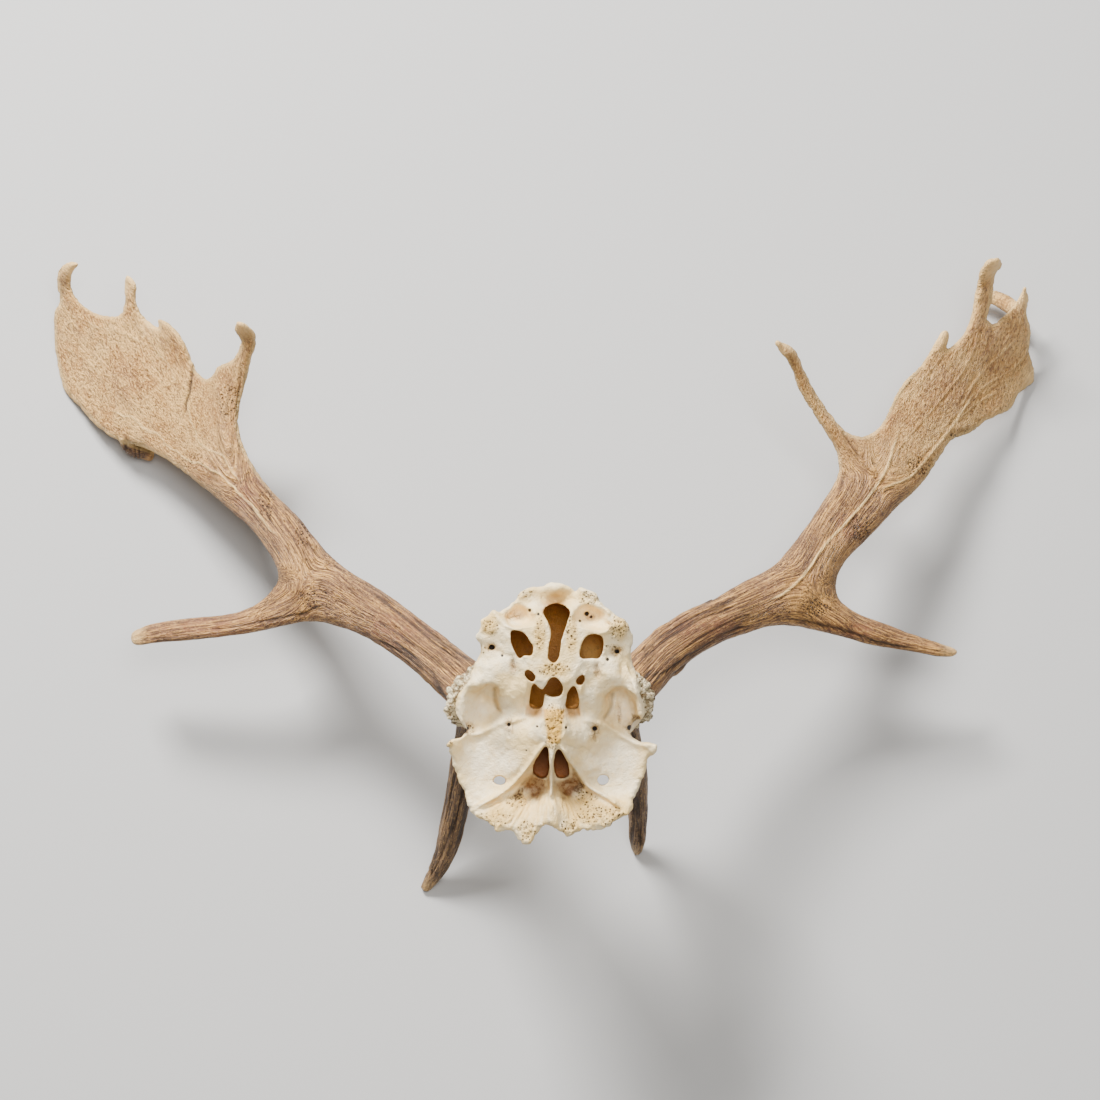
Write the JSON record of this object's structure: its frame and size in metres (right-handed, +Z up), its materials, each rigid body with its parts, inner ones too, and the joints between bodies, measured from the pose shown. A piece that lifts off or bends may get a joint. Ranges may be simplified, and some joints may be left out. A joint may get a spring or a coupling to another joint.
{
  "type": "fallow deer antlers on a sawn skull plate",
  "caption": "Pair of palmate deer antlers grown on a sawn-off skull plate, lying sawn face up on its brow tines and palms.",
  "frame": {"origin": "middle of the underside of the object's box, in the plane that the brow tines and the palms rest on", "axes": "+Z up, +Y towards the back of the deer's head and the ends of the palms, +X across the antlers towards the deer's right"},
  "size_m": [0.6756, 0.4316, 0.2403],
  "materials": {
    "bone": "dry bleached bone, creamy, with spongy sawn patches",
    "antler": "hard weathered antler, tan to beige with dark grooves along it"
  },
  "bodies": {
    "root": {"skull_plate": "bone", "left_beam": "antler", "left_brow_tine": "antler", "left_trez_tine": "antler", "left_palm": "antler", "left_back_tine": "antler", "right_beam": "antler", "right_brow_tine": "antler", "right_trez_tine": "antler", "right_palm": "antler", "right_back_tine": "antler"}
  },
  "joints": []
}
